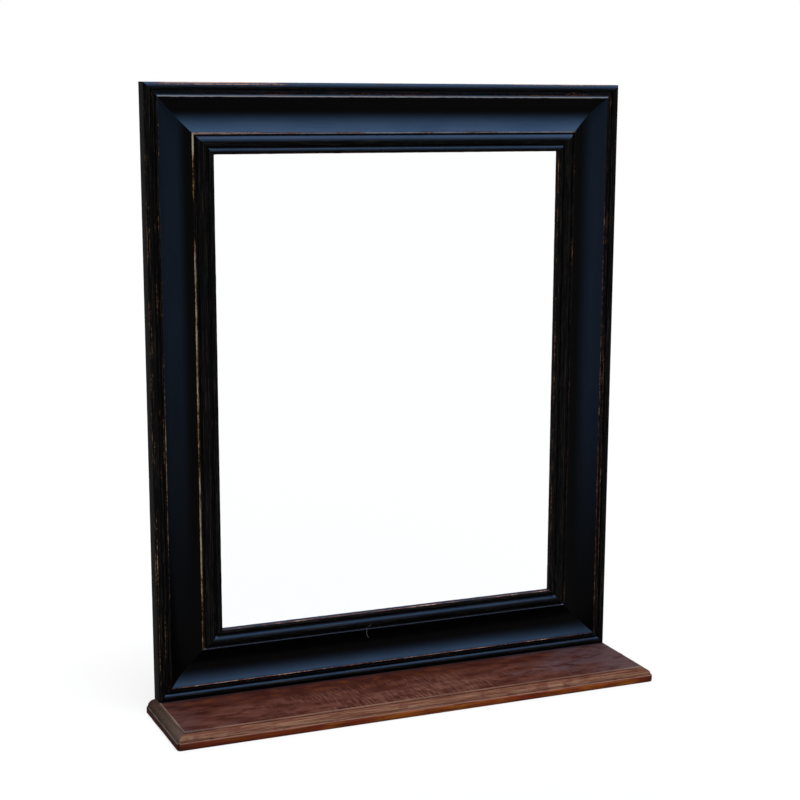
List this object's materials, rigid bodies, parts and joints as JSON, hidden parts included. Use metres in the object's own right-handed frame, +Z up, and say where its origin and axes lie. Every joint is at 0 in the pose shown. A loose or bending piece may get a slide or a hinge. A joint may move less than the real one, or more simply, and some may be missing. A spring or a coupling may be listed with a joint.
{
  "type": "wall mirror with shelf",
  "caption": "Wall mirror in a wide coved and beaded black-painted wooden frame that stands on a moulded red-brown shelf board.",
  "frame": {"origin": "under the middle of the whole piece's bounding box, on the plane of the shelf's underside", "axes": "+Z up, the mirror and the shelf's nose face -Y, +X to the right of a viewer who faces the mirror"},
  "size_m": [0.771, 0.175, 0.921],
  "materials": {
    "painted_moulding": "satin black paint, rubbed through to red-brown wood on the arrises",
    "stained_shelf": "red-brown stained, satin, worn pale on the moulded edge",
    "silvered_plate": "polished silvered plate",
    "hardboard": "pressed fibre board, matt",
    "plain_softwood": "planed pine, unfinished",
    "beech_dowel": "fluted beech, unfinished",
    "steel_fixings": "bright steel, slightly dulled",
    "zinc_plated_steel": "zinc plated pressed steel",
    "black_rubber": "moulded rubber, matt",
    "cork_pads": "pressed cork, matt"
  },
  "bodies": {
    "frame": {"top_rail": "painted_moulding", "bottom_rail": "painted_moulding", "left_stile": "painted_moulding", "right_stile": "painted_moulding", "mitre_nails": "steel_fixings", "mirror_glass": "silvered_plate", "setting_blocks": "black_rubber", "edge_spacers": "cork_pads", "backing_board": "hardboard", "top_batten": "plain_softwood", "bottom_batten": "plain_softwood", "left_batten": "plain_softwood", "right_batten": "plain_softwood", "batten_brads": "steel_fixings", "shelf": "stained_shelf", "shelf_screws": "steel_fixings", "shelf_dowels": "beech_dowel", "left_hanger_strap": "zinc_plated_steel", "right_hanger_strap": "zinc_plated_steel", "hanger_screws": "zinc_plated_steel", "wall_bumpers": "black_rubber"},
    "left_ring": {"left_hanger_ring": "zinc_plated_steel"},
    "right_ring": {"right_hanger_ring": "zinc_plated_steel"}
  },
  "joints": [
    {"name": "left_ring_swing", "type": "hinge", "parent": "frame", "child": "left_ring", "pos_m": [-0.337, 0.08468, 0.731], "axis": [1, 0, 0], "range_deg": [0, 180]},
    {"name": "right_ring_swing", "type": "hinge", "parent": "frame", "child": "right_ring", "pos_m": [0.337, 0.08468, 0.731], "axis": [1, 0, 0], "range_deg": [0, 180]}
  ]
}
